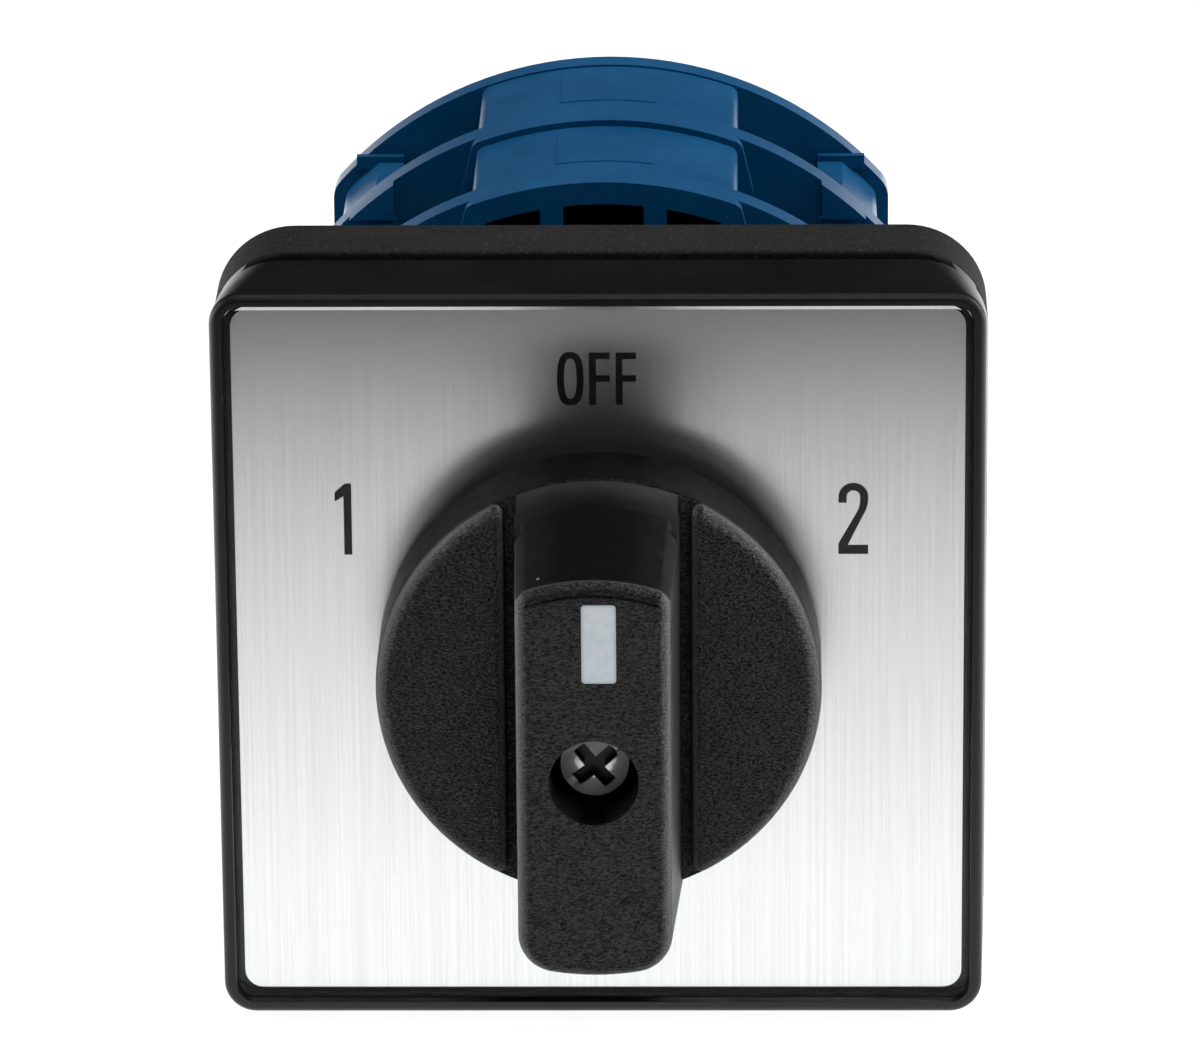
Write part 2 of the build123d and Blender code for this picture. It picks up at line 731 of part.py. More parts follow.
def make_end_plate():
    """Rear cover with a raised bearing boss and two bolt seats."""
    plate = slab(truncated_disc(disc_radius, flat_half, rim_corner), end_front, end_rear)
    plate = fillet(plate.faces().sort_by(Axis.Y)[-1].edges(), 0.3)
    floor = end_rear - end_recess_depth
    outline = truncated_disc(disc_radius - end_recess_inset, flat_half - end_recess_inset, 1.5)
    for z in (-1, 1):
        outline -= Pos(0, z * tie_height) * Circle(3.6)
    outline -= Circle(6.5)
    outline -= Rectangle(end_rib, 2 * disc_radius)
    outline -= Rectangle(2 * disc_radius, end_rib)
    plate -= slab(outline, floor, end_rear)
    for z in (-1, 1):
        plate -= rod(m3_hole, end_front, end_rear, 0, z * tie_height)
    return plate - rod(bush_bore, end_front, end_rear)


def make_rear_bush():
    """Bronze bush for the shaft's rear end, flanged on the inside."""
    front = end_front - 0.9
    bush = rod(5.4, front, end_front - fit_gap) + rod(bush_bore - fit_gap, front, end_rear)
    return bush - rod(rear_journal_radius + 0.05, front, end_rear)


def make_thrust_washer():
    """Washer between the rear bush and the retaining clip."""
    washer = rod(4.6, end_rear + 0.03, end_rear + 0.48)
    return washer - rod(rear_journal_radius + 0.1, end_rear, end_rear + 0.5)


def make_tie_bolts():
    """Two long M3 bolts from the end plate into the mounting plate."""
    bolts = []
    for side in (-1, 1):
        head = Rot(0, 0, 180) * pan_screw(2.75, 2.0, -end_rear, 0.8)
        bolt = head + rod(m3_radius, panel_thickness + 0.8, end_rear)
        bolts.append(Pos(0, 0, side * tie_height) * bolt)
    return gathered(bolts)


# ---- contacts ------------------------------------------------------------------------------
def contact_middle(index):
    """The y of a stage's contact plane."""
    return ring_fronts[index] + contact_plane


def make_fixed_contacts(index):
    """Four bent copper strips: a terminal tab in each well and a leg into the chamber."""
    middle = contact_middle(index)
    strips = []
    for sx, sz in four_corners(1, 1):
        tab = block(well_centre - tab_half_length, well_centre + tab_half_length,
                    middle - tab_half_width, middle + tab_half_width, tab_low, tab_high)
        leg = block(strip_inner, strip_outer, middle - strip_half_width,
                    middle + strip_half_width, tip_height - 1.6, tab_low)
        hole = Pos(well_centre, middle, 0) * Cylinder(m3_tapped, 2 * disc_radius)
        strip = (tab + leg) - (hole & tab)
        strips.append(quadrant(strip, sx, sz))
    return gathered(strips)


def quadrant(solid, sx, sz):
    """Mirror a solid made at +X +Z into the quadrant with the given signs."""
    if sx < 0:
        solid = mirror(solid, Plane.YZ)
    if sz < 0:
        solid = mirror(solid, Plane.XY)
    return solid


def make_terminal_screws():
    """Eight clamping screws, one in each wire well, heads outward."""
    screws = []
    for index in (0, 1):
        head = pan_screw(2.35, 1.8, 0, 0.6, turn=35)
        spot = Pos(well_centre, contact_middle(index), tab_high)
        screw = spot * (Pos(0, 0, clamp_thickness + 0.1) * (Rot(-90, 0, 0) * head))
        shank = spot * (Pos(0, 0, -0.2) * Cylinder(m3_radius, 2.6))
        for sx, sz in four_corners(1, 1):
            screws.append(quadrant(screw + shank, sx, sz))
    return gathered(screws)


def make_terminal_clamps():
    """Eight square clamp washers under the terminal screws."""
    seat = tab_high + 0.04
    clamps = []
    for index in (0, 1):
        middle = contact_middle(index)
        clamp = block(well_centre - clamp_half_length, well_centre + clamp_half_length,
                      middle - clamp_half_width, middle + clamp_half_width,
                      seat, seat + clamp_thickness)
        clamp -= Pos(well_centre, middle, seat) * Cylinder(m3_hole, 4)
        for sx, sz in four_corners(1, 1):
            clamps.append(quadrant(clamp, sx, sz))
    return gathered(clamps)


def contact_disc(inner, middle, z):
    """A silver contact button along X, its inner face at x = inner."""
    button = Rot(0, 90, 0) * Cylinder(tip_radius, tip_thickness)
    return Pos(inner + tip_thickness / 2, middle, z) * button


def make_fixed_tips():
    """Eight silver buttons on the strips' outer faces."""
    buttons = []
    for index in (0, 1):
        button = contact_disc(strip_outer, contact_middle(index), tip_height)
        for sx, sz in four_corners(1, 1):
            buttons.append(quadrant(button, sx, sz))
    return gathered(buttons)


def make_plunger(index, side):
    """Follower that rides on the cam and lifts the contact bridge."""
    middle = contact_middle(index)
    front = middle - bar_half_width
    rear = middle + bar_half_width
    nose_radius = 1.0
    nose = cam_mean_radius + 0.03
    centre = nose + nose_radius
    body = block(centre, bridge_inner - fit_gap, front, rear, -follower_half, follower_half)
    body += Pos(centre, middle, 0) * (Rot(90, 0, 0) * Cylinder(nose_radius, rear - front))
    taper = block(centre, centre + 1.2, front, rear, nose_radius, follower_half + 1)
    body -= taper + mirror(taper, Plane.XY)
    pin = Rot(0, 90, 0) * Cylinder(bridge_pin_radius, 1.6)
    body += Pos(bridge_inner + 0.75, middle, 0) * pin
    return quadrant(body, side, 1)


def make_bridge(index, side):
    """Moving copper bar that joins the upper and lower fixed contacts."""
    middle = contact_middle(index)
    bar = block(bridge_inner, bridge_inner + bridge_thickness, middle - bar_half_width,
                middle + bar_half_width, -bridge_half_length, bridge_half_length)
    bar = fillet(bar.edges().filter_by(Axis.X), 0.8)
    hole = Rot(0, 90, 0) * Cylinder(bridge_pin_radius + 0.08, 4)
    bar -= Pos(bridge_inner, middle, 0) * hole
    return quadrant(bar, side, 1)


def make_bridge_tips(index, side):
    """Two silver buttons on the bridge, facing the fixed ones."""
    inner = bridge_inner - tip_thickness
    pair = [contact_disc(inner, contact_middle(index), z * tip_height) for z in (-1, 1)]
    return gathered(quadrant(button, side, 1) for button in pair)


def make_contact_spring(index, side):
    """Coil spring between the bridge and the housing's side wall, at its OFF length."""
    wire_radius = 0.17
    start = bridge_inner + bridge_thickness + wire_radius + 0.02
    length = chamber_outer - wire_radius - 0.02 - start
    coil = Helix(pitch=length / 3.5, height=length, radius=1.25)
    plane = Plane(origin=coil @ 0, z_dir=coil % 0)
    spring = sweep(plane * Circle(wire_radius), path=coil)
    spring = Pos(start, contact_middle(index), 0) * (Rot(0, 90, 0) * spring)
    return quadrant(spring, side, 1)


# ---- write every node ----------------------------------------------------------------------
nodes = {
    "front_frame": make_front_frame(),
    "clear_cover": make_clear_cover(),
    "legend_plate": make_legend_plate(),
    "panel_gasket": make_panel_gasket(),
    "shaft_seal": make_shaft_seal(),
    "seal_retainer": make_seal_retainer(),
    "mounting_screws": make_mounting_screws(),
    "handle": make_handle(),
    "handle_marker": make_handle_marker(),
    "handle_screw": make_handle_screw(),
    "drive_shaft": make_drive_shaft(),
    "star_wheel": make_star_wheel(),
    "stop_disc": make_stop_disc(),
    "cam_1": make_cam(ring_fronts[0]),
    "cam_2": make_cam(ring_fronts[1]),
    "shaft_spacers": make_shaft_spacers(),
    "retaining_clip": make_retaining_clip(),
    "mounting_plate": make_mounting_plate(),
    "latch_housing": make_latch_housing(),
    "detent_springs": make_detent_springs(),
    "stop_pins": make_stop_pins(),
    "stage_housing_1": make_stage_housing(0),
    "stage_housing_2": make_stage_housing(1),
    "end_plate": make_end_plate(),
    "rear_bush": make_rear_bush(),
    "thrust_washer": make_thrust_washer(),
    "tie_bolts": make_tie_bolts(),
    "fixed_contacts_1": make_fixed_contacts(0),
    "fixed_contacts_2": make_fixed_contacts(1),
    "fixed_silver_tips": make_fixed_tips(),
    "terminal_screws": make_terminal_screws(),
    "terminal_clamps": make_terminal_clamps(),
}

for stage_index in (0, 1):
    for side_name, side_sign in (("left", -1), ("right", 1)):
        suffix = f"{stage_index + 1}_{side_name}"
        nodes[f"plunger_{suffix}"] = make_plunger(stage_index, side_sign)
        nodes[f"bridge_{suffix}"] = make_bridge(stage_index, side_sign)
        nodes[f"bridge_tips_{suffix}"] = make_bridge_tips(stage_index, side_sign)
        nodes[f"contact_spring_{suffix}"] = make_contact_spring(stage_index, side_sign)

os.makedirs("parts", exist_ok=True)
for name, shape in nodes.items():
    export_step(shape, f"parts/{name}.step")
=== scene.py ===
"""Looks of the rotary isolator switch: materials, dial marks, studio and camera."""
import json
import math

import bpy
from mathutils import Matrix, Vector


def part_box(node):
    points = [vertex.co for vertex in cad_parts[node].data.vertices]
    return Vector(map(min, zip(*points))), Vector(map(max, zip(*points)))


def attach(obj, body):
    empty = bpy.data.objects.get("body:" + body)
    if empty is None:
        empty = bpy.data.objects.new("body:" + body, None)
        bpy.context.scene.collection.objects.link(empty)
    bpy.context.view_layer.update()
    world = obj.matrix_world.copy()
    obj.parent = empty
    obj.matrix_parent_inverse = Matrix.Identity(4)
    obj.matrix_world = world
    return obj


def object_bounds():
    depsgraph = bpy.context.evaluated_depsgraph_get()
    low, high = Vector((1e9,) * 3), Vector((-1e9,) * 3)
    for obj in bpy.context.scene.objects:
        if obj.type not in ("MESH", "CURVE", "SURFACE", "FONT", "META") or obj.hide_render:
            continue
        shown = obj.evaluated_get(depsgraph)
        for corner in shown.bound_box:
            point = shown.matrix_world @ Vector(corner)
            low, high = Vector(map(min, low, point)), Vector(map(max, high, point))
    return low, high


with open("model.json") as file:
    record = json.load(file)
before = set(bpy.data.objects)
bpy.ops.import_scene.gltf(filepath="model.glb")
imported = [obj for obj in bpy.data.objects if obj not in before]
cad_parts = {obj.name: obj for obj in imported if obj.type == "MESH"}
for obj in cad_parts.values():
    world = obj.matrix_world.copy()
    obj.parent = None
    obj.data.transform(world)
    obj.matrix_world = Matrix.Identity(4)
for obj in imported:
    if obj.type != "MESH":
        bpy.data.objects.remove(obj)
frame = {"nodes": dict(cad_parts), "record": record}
cad_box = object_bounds()

MM = 0.001
scene = bpy.context.scene
scene.view_settings.view_transform = "Standard"
scene.view_settings.look = "None"


# ---- node helpers --------------------------------------------------------------------------
class Look:
    """One procedural material, built node by node around a Principled shader."""

    def __init__(self, name):
        self.material = bpy.data.materials.new(name)
        self.material.use_nodes = True
        self.nodes = self.material.node_tree.nodes
        self.links = self.material.node_tree.links
        self.shader = self.nodes["Principled BSDF"]
        self.output = self.nodes["Material Output"]
        coordinates = self.nodes.new("ShaderNodeTexCoord")
        self.place = coordinates.outputs["Object"]
        self.normal = coordinates.outputs["Normal"]

    def join(self, source, target):
        """Link a socket, or set a value, into a target socket."""
        if isinstance(source, (int, float)):
            target.default_value = source
        elif isinstance(source, (tuple, list)):
            target.default_value = tuple(source) + (1.0,) * (len(target.default_value) - len(source))
        else:
            self.links.new(source, target)

    def stretched(self, scale):
        """The object's coordinates, scaled per axis."""
        node = self.nodes.new("ShaderNodeMapping")
        node.inputs["Scale"].default_value = scale
        self.join(self.place, node.inputs["Vector"])
        return node.outputs["Vector"]

    def noise(self, scale, detail=2.0, roughness=0.5, vector=None, distortion=0.0):
        """Cloudy values around 0.5."""
        node = self.nodes.new("ShaderNodeTexNoise")
        self.join(vector or self.place, node.inputs["Vector"])
        node.inputs["Scale"].default_value = scale
        node.inputs["Detail"].default_value = detail
        node.inputs["Roughness"].default_value = roughness
        node.inputs["Distortion"].default_value = distortion
        return node.outputs["Fac"]

    def maths(self, operation, first, second=0.0):
        """One arithmetic step on two values."""
        node = self.nodes.new("ShaderNodeMath")
        node.operation = operation
        self.join(first, node.inputs[0])
        self.join(second, node.inputs[1])
        return node.outputs["Value"]

    def ramp(self, source, low, high, out_low=0.0, out_high=1.0):
        """Map a value linearly from one range to another, clamped."""
        node = self.nodes.new("ShaderNodeMapRange")
        self.join(source, node.inputs["Value"])
        node.inputs["From Min"].default_value = low
        node.inputs["From Max"].default_value = high
        node.inputs["To Min"].default_value = out_low
        node.inputs["To Max"].default_value = out_high
        return node.outputs["Result"]

    def mix(self, factor, first, second):
        """Blend two colours."""
        node = self.nodes.new("ShaderNodeMix")
        node.data_type = "RGBA"
        self.join(factor, node.inputs["Factor"])
        self.join(first, node.inputs[6])
        self.join(second, node.inputs[7])
        return node.outputs[2]

    def blend(self, factor, first, second):
        """Blend two plain values."""
        node = self.nodes.new("ShaderNodeMix")
        self.join(factor, node.inputs[0])
        self.join(first, node.inputs[2])
        self.join(second, node.inputs[3])
        return node.outputs[0]

    def split(self, vector):
        """The three components of a vector or colour."""
        node = self.nodes.new("ShaderNodeSeparateXYZ")
        self.join(vector, node.inputs[0])
        return node.outputs["X"], node.outputs["Y"], node.outputs["Z"]

    def bump(self, height, depth_mm, strength=1.0, below=None):
        """Bump of a stated depth; below stacks a coarser bump under it."""
        node = self.nodes.new("ShaderNodeBump")
        node.inputs["Distance"].default_value = depth_mm * MM
        self.join(strength, node.inputs["Strength"])
        self.join(height, node.inputs["Height"])
        if below is not None:
            self.join(below, node.inputs["Normal"])
        return node.outputs["Normal"]

    def facing(self):
        """1 where the surface faces the operator, -1 where it faces the panel."""
        return self.maths("MULTIPLY", self.split(self.normal)[1], -1.0)

    def up(self):
        """1 where the surface faces up."""
        return self.split(self.normal)[2]

    def set(self, **values):
        """Set Principled inputs; an underscore in a name stands for a space."""
        for key, value in values.items():
            self.join(value, self.shader.inputs[key.replace("_", " ")])


# ---- materials -----------------------------------------------------------------------------
def dust(look, scale=620, share=0.93):
    """Sparse specks of lint: the centres of a few cells of a Voronoi pattern."""
    size = 0.085
    cells = look.nodes.new("ShaderNodeTexVoronoi")
    look.join(look.place, cells.inputs["Vector"])
    cells.inputs["Scale"].default_value = scale
    spot = look.ramp(cells.outputs["Distance"], size, size * 0.6)
    picked = look.ramp(look.split(cells.outputs["Color"])[0], share, share + 0.02)
    return look.maths("MULTIPLY", spot, picked)


def leather_black():
    """Moulded black: leather grain on what faces the operator, fine satin on the rest."""
    look = Look("black_handle_plastic")
    wavy = look.stretched((1.0, 1.5, 2.0))
    ridges = look.noise(4300, 2, 0.55, vector=wavy, distortion=0.7)
    blobs = look.noise(1700, 1, 0.5)
    grain = look.maths("ADD", look.ramp(ridges, 0.34, 0.66), look.maths("MULTIPLY", blobs, 0.5))
    facing = look.facing()
    rough_skin = look.ramp(facing, 0.35, 0.85)
    satin = look.bump(look.noise(7000, 2, 0.6), 0.012, 0.8)
    normal = look.bump(grain, 0.23, rough_skin, below=satin)
    cloudy = look.noise(500, 3)
    shade = look.mix(look.ramp(cloudy, 0.3, 0.7), (0.0034, 0.0034, 0.0036), (0.0054, 0.0054, 0.0057))
    # Painted highlight: edges that face sideways and towards the operator are lightened in the base
    # colour.
    sideways = look.maths("ABSOLUTE", look.split(look.normal)[0])
    edge = look.maths("MULTIPLY", look.ramp(sideways, 0.15, 0.55), look.ramp(facing, 0.30, 0.65))
    shade = look.mix(look.maths("MULTIPLY", edge, 0.75), shade, (0.115, 0.115, 0.116))  # painted highlight on the edges
    flecks = look.ramp(look.noise(5200, 2, 0.7), 0.55, 0.72, 0.0, 0.5)
    shade = look.mix(look.maths("MULTIPLY", flecks, 0.6), shade, (0.020, 0.020, 0.021))
    shade = look.mix(dust(look), shade, (0.42, 0.41, 0.38))
    spread = look.ramp(look.noise(900, 2), 0.3, 0.7, 0.40, 0.50)
    up = look.up()
    # Painted shade: faces that point straight up are darkened almost to black.
    shade = look.mix(look.ramp(up, 0.85, 0.98, 0.0, 0.7), shade, (0.0012, 0.0012, 0.0013))
    look.set(Base_Color=shade, Roughness=spread, Normal=normal)
    crests = look.ramp(ridges, 0.40, 0.64, 0.10, 0.54)
    plain = look.ramp(up, 0.88, 0.985, 0.30, 0.03)
    look.set(Specular_IOR_Level=look.blend(rough_skin, plain, crests))
    return look.material


def frame_black():
    """Plain moulded black of the frame, with a faint satin texture."""
    look = Look("black_frame_plastic")
    fine = look.noise(6500, 2, 0.6)
    cloudy = look.noise(160, 3)
    normal = look.bump(fine, 0.006, 0.7)
    shade = look.mix(look.ramp(cloudy, 0.35, 0.7), (0.003, 0.003, 0.0032), (0.0048, 0.0048, 0.0051))
    shade = look.mix(dust(look), shade, (0.30, 0.30, 0.28))
    look.set(Base_Color=shade, Roughness=look.ramp(cloudy, 0.3, 0.7, 0.36, 0.46), Normal=normal)
    look.set(Specular_IOR_Level=look.ramp(look.up(), 0.2, 0.9, 0.35, 0.04))
    return look.material


def rubber_black():
    """Moulded rubber: matt, with a dusty grain."""
    look = Look("black_rubber")
    fine = look.noise(3000, 3, 0.7)
    specks = look.ramp(look.noise(4200, 2, 0.8), 0.56, 0.68)
    cloudy = look.noise(240, 3)
    shade = look.mix(look.ramp(cloudy, 0.3, 0.7), (0.0048, 0.0048, 0.005), (0.0078, 0.0078, 0.0082))
    shade = look.mix(look.maths("MULTIPLY", specks, 0.4), shade, (0.045, 0.045, 0.046))
    shade = look.mix(dust(look, 800, 0.9), shade, (0.35, 0.34, 0.32))
    normal = look.bump(fine, 0.10, 0.9)
    look.set(Base_Color=shade, Roughness=look.ramp(fine, 0.3, 0.7, 0.72, 0.9), Normal=normal)
    look.set(Specular_IOR_Level=0.12)
    return look.material


def moulded_blue():
    """Matt moulded blue thermoplastic with a fine eroded texture."""
    look = Look("blue_thermoplastic")
    fine = look.noise(4200, 3, 0.65)
    cloudy = look.noise(130, 3, 0.6)
    shade = look.mix(look.ramp(cloudy, 0.3, 0.7), (0.0001, 0.039, 0.103), (0.0008, 0.050, 0.128))
    pale = look.ramp(look.noise(2600, 2), 0.55, 0.8, 0.0, 0.25)
    shade = look.mix(pale, shade, (0.008, 0.074, 0.165))
    normal = look.bump(fine, 0.010, 0.8)
    look.set(Base_Color=shade, Roughness=look.ramp(cloudy, 0.3, 0.7, 0.34, 0.44), Normal=normal)
    look.set(Specular_IOR_Level=look.ramp(look.facing(), 0.5, 0.9, 0.36, 0.06))
    return look.material


def brushed_legend():
    """Silver sheet with fine vertical brushing."""
    look = Look("brushed_legend")
    hair = look.noise(1.0, 2, 0.7, vector=look.stretched((9000, 1, 70)))
    line = look.noise(1.0, 2, 0.6, vector=look.stretched((4200, 1, 26)))
    broad = look.noise(1.0, 2, 0.5, vector=look.stretched((500, 1, 30)))
    streak = look.maths("ADD", look.maths("MULTIPLY", hair, 0.6), look.maths("MULTIPLY", line, 0.4))
    shade = look.mix(look.ramp(streak, 0.40, 0.60), (0.66, 0.658, 0.656), (0.71, 0.708, 0.706))
    normal = look.bump(streak, 0.0055, 0.5, below=look.bump(broad, 0.004, 0.2))
    spread = look.ramp(streak, 0.3, 0.7, 0.26, 0.20)
    look.set(Base_Color=shade, Metallic=1.0, Roughness=spread, Anisotropic=0.7, Normal=normal)
    across = look.nodes.new("ShaderNodeCombineXYZ")
    across.inputs["X"].default_value = 1.0
    look.join(across.outputs["Vector"], look.shader.inputs["Tangent"])
    return look.material


def clear_plastic():
    """Polished clear cover: refracts, but lets light through to the legend."""
    look = Look("clear_cover")
    wave = look.bump(look.noise(90, 2), 0.01, 0.12)
    look.set(Base_Color=(0.97, 0.985, 0.985), Roughness=0.015, IOR=1.2, Normal=wave)
    look.set(Transmission_Weight=1.0)
    path = look.nodes.new("ShaderNodeLightPath")
    through = look.nodes.new("ShaderNodeBsdfTransparent")
    through.inputs["Color"].default_value = (0.95, 0.97, 0.97, 1)
    either = look.nodes.new("ShaderNodeMixShader")
    look.join(path.outputs["Is Shadow Ray"], either.inputs["Fac"])
    look.join(look.shader.outputs["BSDF"], either.inputs[1])
    look.join(through.outputs["BSDF"], either.inputs[2])
    look.join(either.outputs["Shader"], look.output.inputs["Surface"])
    return look.material


def metal(name, low, high, roughness):
    """Plain plated or bare metal with fine handling marks."""
    look = Look(name)
    marks = look.noise(900, 4, 0.65)
    shade = look.mix(look.ramp(marks, 0.3, 0.7), low, high)
    spread = look.ramp(look.noise(315, 3), 0.3, 0.7, roughness * 0.75, roughness * 1.3)
    look.set(Base_Color=shade, Metallic=1.0, Roughness=spread, Normal=look.bump(marks, 0.01, 0.4))
    return look.material


def chrome_screw():
    """Bright plated screw; the floor of its recess is painted dark and greenish as shade."""
    head_radius = 2.05 * MM
    dome_rise = 0.4 * MM
    look = Look("bright_steel")
    x, y, z = look.split(look.place)
    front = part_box("handle_screw")[0].y
    across = look.maths("ADD", look.maths("MULTIPLY", x, x), look.maths("MULTIPLY", z, z))
    dome = look.maths("MULTIPLY", across, dome_rise / head_radius ** 2)
    below_front = look.maths("SUBTRACT", y, front)
    below_dome = look.maths("SUBTRACT", below_front, dome)
    in_head = look.ramp(below_front, 2.0 * MM, 2.2 * MM, 1.0, 0.0)
    sunk = look.maths("MULTIPLY", look.ramp(below_dome, 0.12 * MM, 0.30 * MM), in_head)
    marks = look.noise(1500, 3, 0.6)
    shade = look.mix(look.ramp(marks, 0.3, 0.7), (0.74, 0.73, 0.71), (0.92, 0.91, 0.90))
    # Painted shade: the recess floor, deeper than the dome, is made dark greenish.
    shade = look.mix(sunk, shade, (0.030, 0.036, 0.032))
    spread = look.ramp(sunk, 0.0, 1.0, 0.17, 0.45)
    look.set(Base_Color=shade, Metallic=0.5, Roughness=spread, Normal=look.bump(marks, 0.03, 0.7))
    return look.material


def cam_plastic():
    """Natural acetal for the cams, spacers and followers."""
    look = Look("white_cam_plastic")
    cloudy = look.noise(300, 3)
    shade = look.mix(look.ramp(cloudy, 0.3, 0.7), (0.66, 0.65, 0.59), (0.76, 0.75, 0.70))
    normal = look.bump(look.noise(3500, 2), 0.008, 0.6)
    look.set(Base_Color=shade, Roughness=look.ramp(cloudy, 0.3, 0.7, 0.32, 0.45), Normal=normal)
    look.set(Subsurface_Weight=0.1, Subsurface_Radius=(0.001, 0.001, 0.0008))
    return look.material


def white_mark():
    """White paint in the pointer recess, a little worn and blue-grey at its edge."""
    look = Look("white_mark")
    x, y, z = look.split(look.place)
    low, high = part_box("handle_marker")
    centre = (low + high) / 2
    half = (high - low) / 2
    across = look.maths("ABSOLUTE", look.maths("SUBTRACT", x, centre.x))
    along = look.maths("ABSOLUTE", look.maths("SUBTRACT", z, centre.z))
    margin = 0.22 * MM
    edge_x = look.ramp(across, half.x - margin, half.x)
    edge_z = look.ramp(along, half.z - margin, half.z)
    edge = look.maths("MAXIMUM", edge_x, edge_z)
    blotch = look.ramp(look.noise(1500, 3, 0.6), 0.45, 0.75)
    shade = look.mix(blotch, (0.84, 0.90, 0.94), (0.72, 0.81, 0.88))
    shade = look.mix(look.maths("MULTIPLY", edge, 0.45), shade, (0.48, 0.60, 0.70))
    normal = look.bump(look.noise(3800, 3, 0.6), 0.03, 0.5)
    look.set(Base_Color=shade, Roughness=0.5, Normal=normal)
    return look.material


def print_ink():
    """Black print on the legend."""
    look = Look("print_ink")
    patchy = look.ramp(look.noise(2400, 3, 0.7), 0.5, 0.8)
    shade = look.mix(patchy, (0.006, 0.006, 0.006), (0.02, 0.02, 0.02))
    normal = look.bump(look.noise(4200, 2), 0.004, 0.5)
    look.set(Base_Color=shade, Roughness=0.45, Specular_IOR_Level=0.1, Normal=normal)
    return look.material


finishes = {
    "black_frame_plastic": frame_black(),
    "black_handle_plastic": leather_black(),
    "black_rubber": rubber_black(),
    "clear_cover": clear_plastic(),
    "brushed_legend": brushed_legend(),
    "white_mark": white_mark(),
    "bright_steel": chrome_screw(),
    "zinc_steel": metal("zinc_steel", (0.44, 0.45, 0.45), (0.62, 0.63, 0.63), 0.34),
    "spring_steel": metal("spring_steel", (0.30, 0.31, 0.32), (0.46, 0.47, 0.48), 0.3),
    "bronze": metal("bronze", (0.46, 0.29, 0.12), (0.62, 0.42, 0.2), 0.4),
    "copper": metal("copper", (0.62, 0.26, 0.13), (0.80, 0.38, 0.22), 0.32),
    "silver": metal("silver", (0.72, 0.71, 0.67), (0.86, 0.85, 0.82), 0.28),
    "blue_thermoplastic": moulded_blue(),
    "white_cam_plastic": cam_plastic(),
}
ink = print_ink()

for part in frame["record"]["subparts"]:
    node = frame["nodes"][part["node"]]
    node.data.materials.clear()
    node.data.materials.append(finishes[part["material_slot"]])


# ---- dial marks ----------------------------------------------------------------------------
def bezier(start, pull_start, pull_end, end, steps=10):
    """Points along a cubic curve, without its first."""
    points = []
    for i in range(1, steps + 1):
        t = i / steps
        weights = ((1 - t) ** 3, 3 * t * (1 - t) ** 2, 3 * t * t * (1 - t), t ** 3)
        corners = (start, pull_start, pull_end, end)
        points.append(tuple(sum(w * c[k] for w, c in zip(weights, corners)) for k in (0, 1)))
    return points


def ellipse(centre, radii, first, last, steps=16, power=2.0):
    """Points of an elliptic arc; a power above 2 squares its shoulders."""
    points = []
    for i in range(steps + 1):
        angle = math.radians(first + (last - first) * i / steps)
        c, s = math.cos(angle), math.sin(angle)
        x = math.copysign(abs(c) ** (2 / power), c) * radii[0]
        z = math.copysign(abs(s) ** (2 / power), s) * radii[1]
        points.append((centre[0] + x, centre[1] + z))
    return points


def glyph_o(width, height, stroke):
    """O with squared shoulders; the open last 8 degrees of each ring are closed by the spline."""
    middle = (width / 2, height / 2)
    outer = ellipse(middle, (width / 2, height / 2), 0, 352, 44, 2.7)
    inner = ellipse(middle, (width / 2 - stroke, height / 2 - stroke), 0, 352, 44, 2.5)
    return [outer, inner]


def glyph_f(width, height, stroke):
    """F with arms of equal length."""
    bar = 0.565 * height
    return [[
        (0, 0), (stroke, 0), (stroke, bar - stroke), (width, bar - stroke), (width, bar),
        (stroke, bar), (stroke, height - stroke), (width, height - stroke), (width, height),
        (0, height),
    ]]


def glyph_one(width, height, stroke):
    """1 with a slanting flag and no foot."""
    left = width - stroke
    return [[
        (left, 0), (width, 0), (width, height), (left + 0.09, height),
        (0, 0.875 * height), (0, 0.745 * height), (left, 0.82 * height),
    ]]


def glyph_two(width, height, stroke):
    """2 with a round bowl and a curved neck."""
    rim = width / 2
    crown = height - rim
    bowl = rim - stroke
    tip = crown - 0.38
    outline = [(0, 0), (width, 0), (width, 1.2 * stroke), (0.32 * width, 1.2 * stroke)]
    shoulder = (0.83 * width, 0.55 * height)
    outline.append(shoulder)
    outline += bezier(shoulder, (0.94 * width, 0.62 * height), (width, 0.70 * height), (width, crown))
    outline += ellipse((rim, crown), (rim, rim), 0, 180)[1:]
    outline += [(0, tip), (stroke, tip)]
    outline += ellipse((rim, crown), (bowl, bowl), 180, 0)
    inner = (width - stroke, crown)
    elbow = (0.62 * width, 0.59 * height)
    outline += bezier(inner, (width - stroke, 0.73 * height), (0.72 * width, 0.66 * height), elbow)
    outline.append((0, 1.38 * stroke))
    return [outline]


PRINT_THICKNESS = 0.008
print_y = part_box("legend_plate")[0].y / MM - 0.006


def flat_mark(name, loops, x, z):
    """A thin printed shape on the legend, from closed outlines in millimetres."""
    curve = bpy.data.curves.new(name, "CURVE")
    curve.dimensions = "2D"
    curve.fill_mode = "BOTH"
    curve.extrude = PRINT_THICKNESS / 2 * MM
    for loop in loops:
        spline = curve.splines.new("POLY")
        spline.points.add(len(loop) - 1)
        for point, (px, pz) in zip(spline.points, loop):
            point.co = ((x + px) * MM, (z + pz) * MM, 0, 1)
        spline.use_cyclic_u = True
    flat = bpy.data.objects.new(name + "_outline", curve)
    scene.collection.objects.link(flat)
    bpy.context.view_layer.update()
    graph = bpy.context.evaluated_depsgraph_get()
    mesh = bpy.data.meshes.new_from_object(flat.evaluated_get(graph))
    bpy.data.objects.remove(flat)
    stand_up = Matrix.Rotation(math.radians(90), 4, "X")
    mesh.transform(Matrix.Translation((0, print_y * MM, 0)) @ stand_up)
    mesh.materials.clear()
    mesh.materials.append(ink)
    mark = bpy.data.objects.new(name, mesh)
    scene.collection.objects.link(mark)
    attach(mark, "switch_body")


